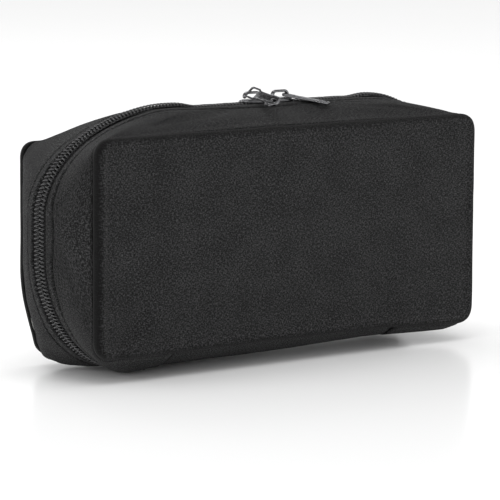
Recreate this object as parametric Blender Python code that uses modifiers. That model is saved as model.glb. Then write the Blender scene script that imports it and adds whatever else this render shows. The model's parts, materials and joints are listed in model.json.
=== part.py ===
"""Travel pill organizer: a soft zip-round clamshell case with elastic bottle loops and a mesh pocket.

Metres, +Z up. The front panel faces -Y, the length runs along X, and the case stands on its bottom
panels at z = 0. The halves meet in the zip plane y = ZIP_Y. They hinge where the two bottom panels meet,
on the line y = ZIP_Y, z = 0. Every fabric wall is a skin: a thin shell that follows one side of the
case at a given depth under its outer surface.
"""

import math

import bmesh
import bpy
import numpy as np
from mathutils import Matrix

# Outer form
PANEL_LENGTH = 0.210
PANEL_HEIGHT = 0.094
PANEL_CORNER = 0.008
CASE_DEPTH = 0.060
ZIP_Y = -0.0045
FRONT_SEAM_HEIGHT = 0.0115
BACK_SEAM_HEIGHT = 0.0055
ZIP_ABOVE_PANEL = 0.0097
ZIP_BELOW_FLOOR = 0.0015
ZIP_BEYOND_PANEL = 0.014
ZIP_CORNER_LOW = (0.050, 0.0545)
ZIP_CORNER_HIGH = (0.076, 0.0435)
CROSS_SEAM_FROM_PANEL_END = 0.041

# Fabric layers
GAP = 0.0003
PANEL_FABRIC = 0.0012
BOARD = 0.0025
PANEL_LINING = 0.0008
GUSSET_FABRIC = 0.0014
GUSSET_LINING = 0.0006
GUSSET_FREE_THICKNESS = 0.0012
BOARD_INSET = 0.0025
LINING_INSET = 0.0030
BINDING_INSET = 0.0036
BINDING_WIDTH = 0.0050
BINDING_FABRIC = 0.0008
INNER_CORNER = 0.016

# Zip
ZIP_OPENING = 0.0036
ZIP_SLOT = 0.0010
COIL_DEPTH = 0.0003
COIL_HEIGHT = 0.0012
COIL_EDGE = 0.0032
TAPE = 0.0007
TAPE_EDGE = 0.0085
TAPE_SLACK = 0.0001
LINING_EDGE = 0.0050
HINGE_CLEARANCE = 0.00015

# Elastic bottle loops
LOOP_COUNT = 5
LOOP_SIDE_MARGIN = 0.010
LOOP_STITCH = 0.0050
LOOP_RISE = 0.014
ELASTIC = 0.0010
ELASTIC_HEIGHT = 0.018
LOWER_ELASTIC_ABOVE_SEAM = 0.0165
UPPER_ELASTIC_BELOW_SEAM = 0.0215

# Mesh pocket
POCKET_SIDE_MARGIN = 0.017
POCKET_FOOT_MARGIN = 0.0095
POCKET_HEAD_MARGIN = 0.0265
POCKET_RISE = 0.0085
POCKET_MESH = 0.0008
POCKET_HEM = 0.0014
POCKET_HEM_HEIGHT = 0.008

# Sliders
SLIDER_X = (-0.0035, 0.0125)
SLIDER_LENGTH = 0.0118
SLIDER_NOSE_WIDTH = 0.0082
SLIDER_TAIL_WIDTH = 0.0064
SLIDER_PLATE = 0.0011
SLIDER_FOOT = 0.0009
SLIDER_FOOT_WIDTH = 0.0060
SLIDER_NECK_WIDTH = 0.0014
SLIDER_NECK_LENGTH = 0.0024
CROWN_LENGTH = 0.0096
CROWN_HEIGHT = 0.0038
CROWN_WIDTH = 0.0020
CROWN_BAR = 0.0013
CROWN_TIP_GAP = 0.0008

# Pull tabs
PULL_LENGTH = 0.0220
PULL_WIDTH = 0.0054
PULL_THICKNESS = 0.0010
PULL_EYE_BACK = 0.0016
PULL_EYE_FRONT = 0.0036
PULL_EYE_WIDTH = 0.0047
PULL_EYE_WALL = 0.0007
PULL_SLOT_LENGTH = 0.0042
PULL_SLOT_WIDTH = 0.0016
PULL_ABOVE_PLATE = 0.0010
LEFT_PULL_OVER_PLATE = 0.0032
PULL_HOOK_REACH = 0.0021
PULL_HOOK_OFFSET = 0.0003
LEFT_PULL_PITCH = math.radians(-9)
LEFT_PULL_ROLL = math.radians(43)
RIGHT_PULL_PITCH = math.radians(-10.5)
RIGHT_PULL_YAW = math.radians(-40)

# Faceting
BOTTOM_STEPS = 2
CORNER_STEPS = 8
SIDE_STEPS = 2
TOP_STEPS = 4
GUSSET_STEPS = 6
LINING_STEPS = 4
TAPE_STEPS = 2
COIL_STEPS = 1
ARC_STEPS = 6
LOOP_STEPS = 8

# Places that follow from the sizes above
STACK_TO_BOARD = PANEL_FABRIC + GAP
GUSSET_FROM_FACE = STACK_TO_BOARD + max(0, GUSSET_FABRIC - GUSSET_FREE_THICKNESS)
STACK_TO_LINING = STACK_TO_BOARD + BOARD + GAP
STACK_TO_BINDING = STACK_TO_LINING + PANEL_LINING + GAP
CROSS_SEAM_X = PANEL_LENGTH / 2 - CROSS_SEAM_FROM_PANEL_END
TAPE_DEPTH = max(COIL_DEPTH + COIL_HEIGHT, GUSSET_FABRIC + TAPE_SLACK) + GAP
INNER_DEPTH = TAPE_DEPTH + TAPE + GAP
LOOP_PITCH = (PANEL_LENGTH - 2 * LOOP_SIDE_MARGIN) / LOOP_COUNT
POCKET_HEIGHT = PANEL_HEIGHT - POCKET_FOOT_MARGIN - POCKET_HEAD_MARGIN
ZIP_TOP = FRONT_SEAM_HEIGHT + PANEL_HEIGHT + ZIP_ABOVE_PANEL
PLATE_LOW = ZIP_TOP + GAP
PLATE_TOP = PLATE_LOW + SLIDER_PLATE
CROWN_MIDLINE = PLATE_TOP + CROWN_HEIGHT - CROWN_BAR / 2
LEFT_PULL_AXIS = max(CROWN_MIDLINE, PLATE_TOP + LEFT_PULL_OVER_PLATE)


class Half:
    """One half of the case: side is -1 for the front and +1 for the back."""

    def __init__(self, name, side, seam_height):
        self.name = name
        self.side = side
        self.seam_y = side * CASE_DEPTH / 2
        self.low = seam_height
        self.high = seam_height + PANEL_HEIGHT

    def inward(self, distance):
        """The y of a plane this far inside the outer face of the half's panel."""
        return self.seam_y - self.side * distance

    def from_zip(self, distance):
        """The y of a plane this far from the zip plane, in this half."""
        return ZIP_Y + self.side * distance


FRONT = Half("front", -1, FRONT_SEAM_HEIGHT)
BACK = Half("back", 1, BACK_SEAM_HEIGHT)

COLOURS = {
    "outer_fabric": ((0.030, 0.030, 0.031), 0.85, 0.0),
    "lining_fabric": ((0.115, 0.118, 0.122), 0.80, 0.0),
    "foam_board": ((0.55, 0.55, 0.55), 0.95, 0.0),
    "seam_tape": ((0.018, 0.018, 0.018), 0.80, 0.0),
    "zip_tape": ((0.016, 0.016, 0.016), 0.85, 0.0),
    "zip_coil": ((0.012, 0.012, 0.012), 0.45, 0.0),
    "elastic": ((0.020, 0.020, 0.021), 0.75, 0.0),
    "pocket_mesh": ((0.025, 0.025, 0.026), 0.70, 0.0),
    "black_nickel": ((0.055, 0.055, 0.060), 0.22, 1.0),
}


def clear_scene():
    for item in list(bpy.data.objects):
        bpy.data.objects.remove(item, do_unlink=True)


def new_collection(name, hidden=False):
    made = bpy.data.collections.new(name)
    made.hide_render = hidden
    bpy.context.scene.collection.children.link(made)
    return made


def make_materials():
    made = {}
    for name, (colour, roughness, metallic) in COLOURS.items():
        material = bpy.data.materials.new(name)
        material.use_nodes = True
        shader = material.node_tree.nodes["Principled BSDF"]
        shader.inputs["Base Color"].default_value = (*colour, 1)
        shader.inputs["Roughness"].default_value = roughness
        shader.inputs["Metallic"].default_value = metallic
        made[name] = material
    return made


def add_object(name, data, material, smooth=True):
    """Puts data in the case's collection, as an object with one material."""
    data.materials.append(MATERIALS[material])
    item = bpy.data.objects.new(name, data)
    CASE.objects.link(item)
    if smooth and item.type == "MESH":
        data.shade_smooth()
        data.set_sharp_from_angle(angle=math.radians(40))
    return item


def solidify(item, thickness):
    """Gives an open surface its thickness, on the side away from its normals."""
    shell = item.modifiers.new("thickness", "SOLIDIFY")
    shell.thickness = thickness
    shell.offset = -1
    return shell


def mirror_across_x(item):
    """Adds the other side of a surface that is open at x = 0."""
    mirror = item.modifiers.new("other_side", "MIRROR")
    mirror.use_axis = (True, False, False)
    mirror.merge_threshold = 0.00005


def grid_mesh(name, grid, flip=False):
    """A mesh of quads over a grid of points, indexed [along, across, xyz]."""
    rows, columns = grid.shape[:2]
    faces = []
    for row in range(rows - 1):
        for column in range(columns - 1):
            first = row * columns + column
            quad = (first, first + columns, first + columns + 1, first + 1)
            faces.append(quad[::-1] if flip else quad)
    mesh = bpy.data.meshes.new(name)
    mesh.from_pydata([tuple(map(float, point)) for point in grid.reshape(-1, 3)], [], faces)
    mesh.validate()
    return mesh


# Outlines


def arc(centre, radii, start, end, steps):
    """Points along an elliptical arc, with angles in degrees."""
    angles = np.radians(np.linspace(start, end, steps + 1))
    return [(centre[0] + radii[0] * math.cos(a), centre[1] + radii[1] * math.sin(a)) for a in angles]


def between(start, end, steps):
    """The points strictly between two ends of a straight stretch."""
    return [
        (
            start[0] + (end[0] - start[0]) * step / steps,
            start[1] + (end[1] - start[1]) * step / steps,
        )
        for step in range(1, steps)
    ]


def left_line(start_x, half_length, low, high, corner_low, corner_high):
    """Points (x, z) from start_x on the bottom, round the left side, to the middle of the top."""
    foot = (corner_low[0] - half_length, low + corner_low[1])
    head = (corner_high[0] - half_length, high - corner_high[1])
    low_arc = arc(foot, corner_low, 270, 180, CORNER_STEPS)
    high_arc = arc(head, corner_high, 180, 90, CORNER_STEPS)
    start = (start_x, low)
    middle = (0.0, high)
    points = [start] + between(start, low_arc[0], BOTTOM_STEPS) + low_arc
    points += between(low_arc[-1], high_arc[0], SIDE_STEPS) + high_arc
    points += between(high_arc[-1], middle, TOP_STEPS) + [middle]
    return np.array(points)


def panel_line(half, start_x):
    corner = (PANEL_CORNER, PANEL_CORNER)
    return left_line(start_x, PANEL_LENGTH / 2, half.low, half.high, corner, corner)


def zip_line(start_x):
    half_length = PANEL_LENGTH / 2 + ZIP_BEYOND_PANEL
    return left_line(start_x, half_length, -ZIP_BELOW_FLOOR, ZIP_TOP, ZIP_CORNER_LOW, ZIP_CORNER_HIGH)


def rounded_rectangle(half_length, low, high, corner):
    points = arc((half_length - corner, high - corner), (corner, corner), 0, 90, ARC_STEPS)
    points += arc((corner - half_length, high - corner), (corner, corner), 90, 180, ARC_STEPS)
    points += arc((corner - half_length, low + corner), (corner, corner), 180, 270, ARC_STEPS)
    points += arc((half_length - corner, low + corner), (corner, corner), 270, 360, ARC_STEPS)
    return points


def flat_curve(name, outlines, thickness):
    """A flat plate in its local XY plane: the first outline is its edge and the others are holes."""
    curve = bpy.data.curves.new(name, "CURVE")
    curve.dimensions = "2D"
    curve.fill_mode = "BOTH"
    curve.extrude = thickness / 2
    for outline in outlines:
        spline = curve.splines.new("POLY")
        spline.points.add(len(outline) - 1)
        spline.use_cyclic_u = True
        for point, (x, y) in zip(spline.points, outline):
            point.co = (x, y, 0, 1)
    return curve


def welded_mesh(name, curve):
    """The closed mesh of a flat curve, with its caps welded on."""
    guide = bpy.data.objects.new(name, curve)
    HELPERS.objects.link(guide)
    graph = bpy.context.evaluated_depsgraph_get()
    mesh = bpy.data.meshes.new_from_object(guide.evaluated_get(graph))
    bpy.data.objects.remove(guide, do_unlink=True)
    weld(mesh)
    mesh.materials.clear()
    mesh.name = name
    return mesh


def weld(mesh):
    cage = bmesh.new()
    cage.from_mesh(mesh)
    bmesh.ops.remove_doubles(cage, verts=cage.verts, dist=0.000005)
    cage.to_mesh(mesh)
    cage.free()


# Fabric skins


def wall_grid(half, start_x, y_from, y_to, depth, steps):
    """Points of one half's side wall at a depth under its outer surface, from y_from to y_to."""
    panel, zipped = panel_line(half, start_x), zip_line(start_x)
    y_start = half.inward(STACK_TO_BOARD)
    ys = np.linspace(y_from, y_to, steps + 1)
    share = (ys - y_start) / (ZIP_Y - y_start)
    rise = 1 - (1 - share) ** 2
    flat = panel[:, None, :] + (zipped - panel)[:, None, :] * rise[None, :, None]
    depth_axis = np.broadcast_to(ys, flat.shape[:2])
    grid = np.stack([flat[..., 0], depth_axis, flat[..., 1]], axis=-1)
    outward = np.cross(np.gradient(grid, axis=0), np.gradient(grid, axis=1)) * -half.side
    outward /= np.linalg.norm(outward, axis=2, keepdims=True)
    grid = grid - outward * depth
    grid[..., 2] = np.maximum(grid[..., 2], depth)
    on_plane = np.isclose(flat[..., 0], 0.0)
    grid[..., 0] = np.where(on_plane, 0.0, grid[..., 0])
    return grid


def wall(name, half, start_x, y_from, y_to, depth, thickness, steps, material):
    """A fabric skin along the half's side wall, on both sides of the case."""
    grid = wall_grid(half, start_x, y_from, y_to, depth, steps)
    item = add_object(name, grid_mesh(name, grid, flip=half.side > 0), material)
    mirror_across_x(item)
    solidify(item, thickness)
    return item


def flat_sheet(name, half, inset, corner, depth, thickness, material, hole_width=None):
    """A flat layer of the half's panel, this far inside its outer face. A hole leaves a ring."""
    sizes = (PANEL_LENGTH / 2 - inset, half.low + inset, half.high - inset, corner)
    outlines = [rounded_rectangle(*sizes)]
    if hole_width:
        length, low, high, corner = sizes
        inner = (length - hole_width, low + hole_width, high - hole_width, corner - hole_width)
        outlines.append(rounded_rectangle(*inner))
    mesh = welded_mesh(name, flat_curve(name, outlines, thickness))
    item = add_object(name, mesh, material)
    item.rotation_euler = (math.radians(90), 0, 0)
    item.location.y = half.inward(depth + thickness / 2)
    return item


def bottom_panel(half):
    """The leaf of fabric between the cross seams, from the panel's seam to the hinge line."""
    x = GAP - CROSS_SEAM_X
    y_from, y_to = half.inward(STACK_TO_BOARD), half.from_zip(HINGE_CLEARANCE)
    grid = wall_grid(half, x, y_from, y_to, 0.0, GUSSET_STEPS)[:2]
    grid[1, :, 0] = 0.0
    name = half.name + "_bottom_panel"
    item = add_object(name, grid_mesh(name, grid, flip=half.side < 0), "outer_fabric")
    mirror_across_x(item)
    solidify(item, GUSSET_FABRIC)


def case_half(half):
    """The fabric pieces of one half: its panel, its side wall, its lining and its side of the zip."""
    name = half.name
    flat_sheet(name + "_panel", half, 0.0, PANEL_CORNER, 0.0, PANEL_FABRIC, "outer_fabric")
    flat_sheet(
        name + "_panel_board", half, BOARD_INSET, INNER_CORNER, STACK_TO_BOARD, BOARD, "foam_board"
    )
    flat_sheet(
        name + "_lining", half, LINING_INSET, INNER_CORNER, STACK_TO_LINING, PANEL_LINING,
        "lining_fabric",
    )
    flat_sheet(
        name + "_seam_binding", half, BINDING_INSET, INNER_CORNER, STACK_TO_BINDING, BINDING_FABRIC,
        "seam_tape", BINDING_WIDTH,
    )
    wall(
        name + "_gusset", half, -CROSS_SEAM_X, half.inward(GUSSET_FROM_FACE),
        half.from_zip(ZIP_OPENING), 0.0, GUSSET_FABRIC, GUSSET_STEPS, "outer_fabric",
    )
    wall(
        name + "_gusset_lining", half, 0.0, half.inward(STACK_TO_BINDING),
        half.from_zip(LINING_EDGE), INNER_DEPTH, GUSSET_LINING, LINING_STEPS, "lining_fabric",
    )
    wall(
        name + "_zipper_tape", half, -CROSS_SEAM_X, half.from_zip(TAPE_EDGE),
        half.from_zip(ZIP_SLOT), TAPE_DEPTH, TAPE, TAPE_STEPS, "zip_tape",
    )
    wall(
        name + "_zipper_coil", half, -CROSS_SEAM_X, half.from_zip(COIL_EDGE),
        half.from_zip(ZIP_SLOT), COIL_DEPTH, COIL_HEIGHT, COIL_STEPS, "zip_coil",
    )
    bottom_panel(half)


# What the halves hold


def elastic_band(name, z_low):
    """A strip of elastic that is stitched to the back lining between arched bottle loops."""
    y_lining = BACK.inward(STACK_TO_LINING + PANEL_LINING + GAP)
    reach = (LOOP_PITCH - LOOP_STITCH) / 2
    path = [(-LOOP_COUNT * LOOP_PITCH / 2, y_lining)]
    for loop in range(LOOP_COUNT):
        middle = (loop - (LOOP_COUNT - 1) / 2) * LOOP_PITCH
        path += arc((middle, y_lining), (reach, -LOOP_RISE), 180, 0, LOOP_STEPS)
    path.append((LOOP_COUNT * LOOP_PITCH / 2, y_lining))
    rows = [[(x, y, z_low), (x, y, z_low + ELASTIC_HEIGHT)] for x, y in path]
    item = add_object(name, grid_mesh(name, np.array(rows)), "elastic")
    solidify(item, ELASTIC).offset = 1
    return item


def pocket_y(x, share):
    """Where the pocket's mesh lies, at a share of its height from its foot."""
    reach = PANEL_LENGTH / 2 - POCKET_SIDE_MARGIN
    across = 1 - abs(x / reach) ** 4
    rise = POCKET_RISE * across * math.sin(math.radians(90) * share) ** 0.7
    return FRONT.inward(STACK_TO_LINING + PANEL_LINING + GAP) + rise


def pocket_strip(name, shares, z_low, z_high, thickness, material):
    reach = PANEL_LENGTH / 2 - POCKET_SIDE_MARGIN
    xs = np.linspace(-reach, reach, 17)
    zs = np.linspace(z_low, z_high, len(shares))
    rows = [[(x, pocket_y(x, share), z) for share, z in zip(shares, zs)] for x in xs]
    item = add_object(name, grid_mesh(name, np.array(rows)), material)
    solidify(item, thickness)
    return item


def mesh_pocket():
    """A mesh pocket on the front lining, sewn at its foot and sides and open along its top hem."""
    foot = FRONT.low + POCKET_FOOT_MARGIN
    top = foot + POCKET_HEIGHT
    shares = np.linspace(0, 1, 6)
    pocket_strip("mesh_pocket", shares, foot, top, POCKET_MESH, "pocket_mesh")
    hem_low = top + GAP
    pocket_strip(
        "mesh_pocket_hem", (1, 1), hem_low, hem_low + POCKET_HEM_HEIGHT, POCKET_HEM, "elastic"
    )


# Sliders. Each is built with its nose towards +X and turned to face the other one.


def slider_outline(nose_width, tail_width):
    """The slider's plan: a round nose at +X and a narrower tail at -X."""
    nose_radius, tail_radius = nose_width / 2, tail_width / 2
    nose_centre = SLIDER_LENGTH / 2 - nose_radius
    tail_centre = tail_radius - SLIDER_LENGTH / 2
    nose = arc((nose_centre, 0), (nose_radius, nose_radius), -80, 80, 2 * ARC_STEPS)
    tail = arc((tail_centre, 0), (tail_radius, tail_radius), 100, 260, 2 * ARC_STEPS)
    return nose + tail


def plate(name, outlines, thickness, z_low):
    mesh = welded_mesh(name, flat_curve(name, outlines, thickness))
    mesh.transform(Matrix.Translation((0, 0, z_low + thickness / 2)))
    return mesh


def helper_object(name, mesh):
    item = bpy.data.objects.new(name, mesh)
    item.hide_render = True
    item.display_type = "WIRE"
    HELPERS.objects.link(item)
    return item


def unite(item, other):
    union = item.modifiers.new("union", "BOOLEAN")
    union.operation = "UNION"
    union.object = other


def slider_body(side_name, x, facing):
    """Top plate, neck and foot plate in one casting, round the zip's coils and tapes."""
    name = side_name + "_slider_body"
    foot_top = ZIP_TOP - INNER_DEPTH
    foot_low = foot_top - SLIDER_FOOT
    top = plate(name, [slider_outline(SLIDER_NOSE_WIDTH, SLIDER_TAIL_WIDTH)], SLIDER_PLATE, PLATE_LOW)
    narrow = SLIDER_FOOT_WIDTH / SLIDER_NOSE_WIDTH
    foot_outline = slider_outline(SLIDER_FOOT_WIDTH, SLIDER_TAIL_WIDTH * narrow)
    foot = plate(name + "_foot", [foot_outline], SLIDER_FOOT, foot_low)
    neck_low = foot_low + SLIDER_FOOT / 2
    neck_high = PLATE_LOW + SLIDER_PLATE / 2
    neck_x = SLIDER_LENGTH / 2 - SLIDER_NECK_LENGTH
    neck_outline = rounded_rectangle(
        SLIDER_NECK_LENGTH / 2, -SLIDER_NECK_WIDTH / 2, SLIDER_NECK_WIDTH / 2, SLIDER_NECK_WIDTH * 0.45
    )
    neck = plate(name + "_neck", [neck_outline], neck_high - neck_low, neck_low)
    neck.transform(Matrix.Translation((neck_x, 0, 0)))
    place = Matrix.Translation((x, ZIP_Y, 0)) @ Matrix.Rotation(facing, 4, "Z")
    item = add_object(name, top, "black_nickel")
    for helper_name, mesh in (("_foot", foot), ("_neck", neck)):
        helper = helper_object(name + helper_name, mesh)
        helper.matrix_world = place
        unite(item, helper)
    item.matrix_world = place


def crown_outline():
    """Side view of the arched crown: it stands on the nose and ends in a hook over the tail."""
    half_length = CROWN_LENGTH / 2
    foot_z = GAP
    corner = CROWN_HEIGHT * 0.62
    outer = [(half_length, foot_z)]
    outer += arc((half_length - corner, CROWN_HEIGHT - corner), (corner, corner), 0, 90, ARC_STEPS)
    outer += arc((corner - half_length, CROWN_HEIGHT - corner), (corner, corner), 90, 180, ARC_STEPS)
    outer.append((-half_length, CROWN_TIP_GAP))
    inner_corner = corner - CROWN_BAR
    inner_half = half_length - CROWN_BAR
    inner_top = CROWN_HEIGHT - CROWN_BAR
    inner = [(-inner_half, CROWN_TIP_GAP)]
    centre_z = inner_top - inner_corner
    radii = (inner_corner, inner_corner)
    inner += arc((inner_corner - inner_half, centre_z), radii, 180, 90, ARC_STEPS)
    inner += arc((inner_half - inner_corner, centre_z), radii, 90, 0, ARC_STEPS)
    inner.append((inner_half, foot_z))
    return outer + inner


def slider_crown(side_name, x, facing):
    name = side_name + "_slider_crown"
    mesh = welded_mesh(name, flat_curve(name, [crown_outline()], CROWN_WIDTH))
    mesh.transform(Matrix.Rotation(math.radians(90), 4, "X"))
    item = add_object(name, mesh, "black_nickel")
    item.location = (x, ZIP_Y, PLATE_TOP)
    item.rotation_euler.z = facing


def pull_outlines():
    """Plan of the pull: its eye round the origin, a waist, and a wider grip with a slot at +X."""
    eye_half = PULL_EYE_WIDTH / 2 + PULL_EYE_WALL
    back = -PULL_EYE_BACK - PULL_EYE_WALL
    grip_half = PULL_WIDTH / 2
    end = PULL_LENGTH + back
    grip_start = end - PULL_LENGTH * 0.34
    waist_half = eye_half * 0.86
    corner = eye_half * 0.5
    edge = arc((back + corner, -eye_half + corner), (corner, corner), 180, 270, ARC_STEPS // 2)
    edge += [(PULL_EYE_FRONT, -eye_half), (PULL_EYE_FRONT + 0.0015, -waist_half)]
    edge += [(grip_start, -waist_half), (grip_start + 0.0012, -grip_half)]
    edge += arc((end - grip_half, 0), (grip_half, grip_half), -90, 90, 2 * ARC_STEPS)
    edge += [(x, -y) for x, y in reversed(edge[: -2 * ARC_STEPS - 1])]
    eye_middle = (PULL_EYE_FRONT - PULL_EYE_BACK) / 2
    eye_reach = (PULL_EYE_FRONT + PULL_EYE_BACK) / 2
    eye = rounded_rectangle(eye_reach, -PULL_EYE_WIDTH / 2, PULL_EYE_WIDTH / 2, PULL_EYE_WALL)
    eye = [(x + eye_middle, y) for x, y in eye]
    slot_radius = PULL_SLOT_WIDTH / 2
    slot = rounded_rectangle(PULL_SLOT_LENGTH / 2, -slot_radius, slot_radius, slot_radius * 0.98)
    slot_x = end - PULL_SLOT_LENGTH / 2 - PULL_WIDTH * 0.28
    return [edge, eye, [(x + slot_x, y) for x, y in slot]]


def pull_tab(side_name, pivot, pivot_in_pull, pitch, yaw, roll):
    """A pull tab whose origin is where it turns on its crown. It points along +X before it is turned."""
    name = side_name + "_slider_pull"
    mesh = welded_mesh(name, flat_curve(name, pull_outlines(), PULL_THICKNESS))
    mesh.transform(Matrix.Translation((-pivot_in_pull, 0, 0)))
    turn = (
        Matrix.Rotation(yaw, 4, "Z") @ Matrix.Rotation(-pitch, 4, "Y") @ Matrix.Rotation(roll, 4, "X")
    )
    item = add_object(name, mesh, "black_nickel")
    item.matrix_world = Matrix.Translation(pivot) @ turn


def zip_sliders():
    """Two sliders nose to nose on the top of the zip. The left pull lies to the front, across the zip."""
    left_x, right_x = SLIDER_X
    slider_body("left", left_x, 0.0)
    slider_body("right", right_x, math.pi)
    slider_crown("left", left_x, 0.0)
    slider_crown("right", right_x, math.pi)
    pull_tab(
        "left", (left_x, ZIP_Y, LEFT_PULL_AXIS), 0.0, LEFT_PULL_PITCH, math.radians(-90), LEFT_PULL_ROLL
    )
    eye_bar = -PULL_EYE_BACK - PULL_EYE_WALL / 2
    hook_x = right_x + (CROWN_LENGTH - CROWN_BAR) / 2
    pivot = (
        hook_x - PULL_HOOK_REACH,
        ZIP_Y + PULL_HOOK_OFFSET,
        PLATE_TOP + PULL_THICKNESS / 2 + PULL_ABOVE_PLATE,
    )
    pull_tab("right", pivot, eye_bar, RIGHT_PULL_PITCH, RIGHT_PULL_YAW, 0.0)


clear_scene()
CASE = new_collection("travel_pill_organizer")
HELPERS = new_collection("helpers", hidden=True)
MATERIALS = make_materials()
case_half(BACK)
case_half(FRONT)
elastic_band("upper_elastic_loops", BACK.high - UPPER_ELASTIC_BELOW_SEAM - ELASTIC_HEIGHT)
elastic_band("lower_elastic_loops", BACK.low + LOWER_ELASTIC_ABOVE_SEAM)
mesh_pocket()
zip_sliders()
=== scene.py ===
"""Looks of the travel pill organizer: heathered fabric walls, coil zip, sliders and lining, in metres."""

import json
import math

import bmesh
import bpy
import numpy as np
from mathutils import Matrix, Vector, noise


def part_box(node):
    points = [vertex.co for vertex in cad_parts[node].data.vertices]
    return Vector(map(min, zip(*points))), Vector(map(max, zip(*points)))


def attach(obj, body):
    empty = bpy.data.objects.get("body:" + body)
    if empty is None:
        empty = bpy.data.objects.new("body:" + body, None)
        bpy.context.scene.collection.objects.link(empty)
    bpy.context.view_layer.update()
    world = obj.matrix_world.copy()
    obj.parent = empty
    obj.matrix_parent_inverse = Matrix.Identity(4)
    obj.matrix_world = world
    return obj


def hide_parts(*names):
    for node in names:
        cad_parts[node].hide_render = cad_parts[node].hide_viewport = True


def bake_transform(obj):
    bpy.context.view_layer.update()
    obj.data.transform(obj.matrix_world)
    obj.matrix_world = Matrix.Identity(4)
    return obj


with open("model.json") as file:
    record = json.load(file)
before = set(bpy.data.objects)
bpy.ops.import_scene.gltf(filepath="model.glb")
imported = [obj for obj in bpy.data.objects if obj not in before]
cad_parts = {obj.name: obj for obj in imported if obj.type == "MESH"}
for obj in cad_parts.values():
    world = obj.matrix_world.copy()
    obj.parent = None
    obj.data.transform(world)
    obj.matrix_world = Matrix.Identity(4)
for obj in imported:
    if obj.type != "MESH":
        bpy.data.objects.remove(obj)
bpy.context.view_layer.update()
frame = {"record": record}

JOINTS = {joint["name"]: joint for joint in frame["record"]["behaviour"]["joints"]}

# Places read from the CAD frame
PANEL_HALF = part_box("front_panel")[1][0]
ZIP_Y = JOINTS["case_opening"]["pos_m"][1]
COIL_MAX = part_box("front_zipper_coil")[1]
COIL_DEPTH = 0.0003
ZIP_HALF = COIL_MAX[0] + COIL_DEPTH
ZIP_TOP = COIL_MAX[2] + COIL_DEPTH
CROSS_SEAM_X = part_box("back_bottom_panel")[1][0]
TOP_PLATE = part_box("left_slider_body")[1][2]

# Shape of the outlines and of the fabric near the zip
INNER_CORNER = 0.016
ZIP_CORNER_LOW = (0.050, 0.0545)
ZIP_CORNER_HIGH = (0.076, 0.0435)
ZIP_LOW = 0.0006
EDGE_FROM_ZIP = 0.0037
SIDE_TILT = math.radians(15)
TOP_TILT = math.radians(1.5)
STITCH_FROM_EDGE = 0.0044
CLOTH = 0.0009
END_LIFT = 0.0042
VISIBLE_CORNER = {-1: 0.0072, 1: 0.0062}
LIP_REACH = 0.0026
BACK_TUCK = 0.0085
RIGHT_SAG = 0.0025
SWELL = {-1: 0.006, 1: 0.004}
SEAM_DEPTH = 0.0026
SEAM_ALLOWANCE = 0.003
UNDER_LIFT = math.radians(38)
UNDER_START_PULL = 1.10
UNDER_END_PULL = 0.9
# Widths of the painted shade that darkens the cloth's colour in the seam creases of the walls, panels and
# hinge cloth
WALL_CREASE_SHADE = 0.0017
PANEL_CREASE_SHADE = 0.0019
HINGE_CREASE_SHADE = 0.0009
STITCH_GROOVE = 0.0005
LINING_CLOTH = 0.0005
TAPE_SINK = 0.0011

# Coil
COIL_PITCH = 0.00181
WIRE_RADIUS = 0.00037
COIL_REACH = 0.00132
COIL_CENTRE = 0.00135
COIL_RISE = 0.00062
COIL_SINK = 0.00045
COIL_LIFT = 0.0013
COIL_LIFT_START = 0.012
SLIDER_MIDDLE = sum(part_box(name)[0][0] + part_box(name)[1][0] for name in
                    ("left_slider_body", "right_slider_body")) / 4
SPREAD_AT_SLIDERS = 0.0009
SPREAD_LENGTH = 0.0055
TOP_BOW = 0.0013
TOP_BOW_START = 0.030
LEFT_TRAVEL_REACH = 0.038
RIGHT_TRAVEL_REACH = 0.046
RIGHT_SHOULDER = 0.0012
RIGHT_SHOULDER_X = 0.072
RIGHT_SHOULDER_LENGTH = 0.013


class Half:
    """One half of the case: side is -1 for the front and +1 for the back."""

    def __init__(self, name, side):
        low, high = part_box(name + "_panel")
        self.name = name
        self.body = name + "_half"
        self.side = side
        self.seam_y = low[1] if side < 0 else high[1]
        self.low, self.high = low[2], high[2]

    def inward(self, distance):
        return self.seam_y - self.side * distance


FRONT = Half("front", -1)
BACK = Half("back", 1)


# Small tools


def smoothstep(value):
    value = np.clip(value, 0, 1)
    return value * value * (3 - 2 * value)


def wave_noise(points, seed=0.0):
    """Smooth noise from -1 to 1 at each row of points."""
    return np.array([noise.noise(Vector((p[0] + seed, p[1] - seed, p[2] + 2 * seed))) for p in points])


def noise_grid(along, across, seed):
    """Noise on a grid, from its two coordinates divided by the sizes of the lumps."""
    shape = np.broadcast(along, across).shape
    along, across = np.broadcast_to(along, shape).ravel(), np.broadcast_to(across, shape).ravel()
    return wave_noise(np.stack([along, across, np.zeros_like(along)], axis=1), seed).reshape(shape)


def lengths(points):
    """Distance run along axis 0 of an array of points."""
    steps = np.linalg.norm(np.diff(points, axis=0), axis=-1)
    return np.concatenate([np.zeros_like(steps[:1]), np.cumsum(steps, axis=0)])


def unit(vectors):
    return vectors / np.maximum(np.linalg.norm(vectors, axis=-1, keepdims=True), 1e-12)


def new_piece(name, vertices, faces, material, body, uvs=None, replaces=(), crease=None):
    """A mesh piece that rides on a body, stands for CAD nodes and takes a material."""
    mesh = plain_mesh(name, vertices, np.asarray(faces).tolist())
    if uvs is not None:
        layer = mesh.uv_layers.new(name="UVMap")
        order = np.empty(len(mesh.loops), np.int32)
        mesh.loops.foreach_get("vertex_index", order)
        layer.data.foreach_set("uv", np.asarray(uvs, np.float32)[order].ravel())
    # The crease share per point, which the cloth material uses to paint shade into seam creases
    if crease is not None:
        shade = mesh.attributes.new("crease", "FLOAT", "POINT")
        shade.data.foreach_set("value", np.asarray(crease, np.float32).ravel())
    mesh.shade_smooth()
    return register(bpy.data.objects.new(name, mesh), material, body, replaces)


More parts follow.
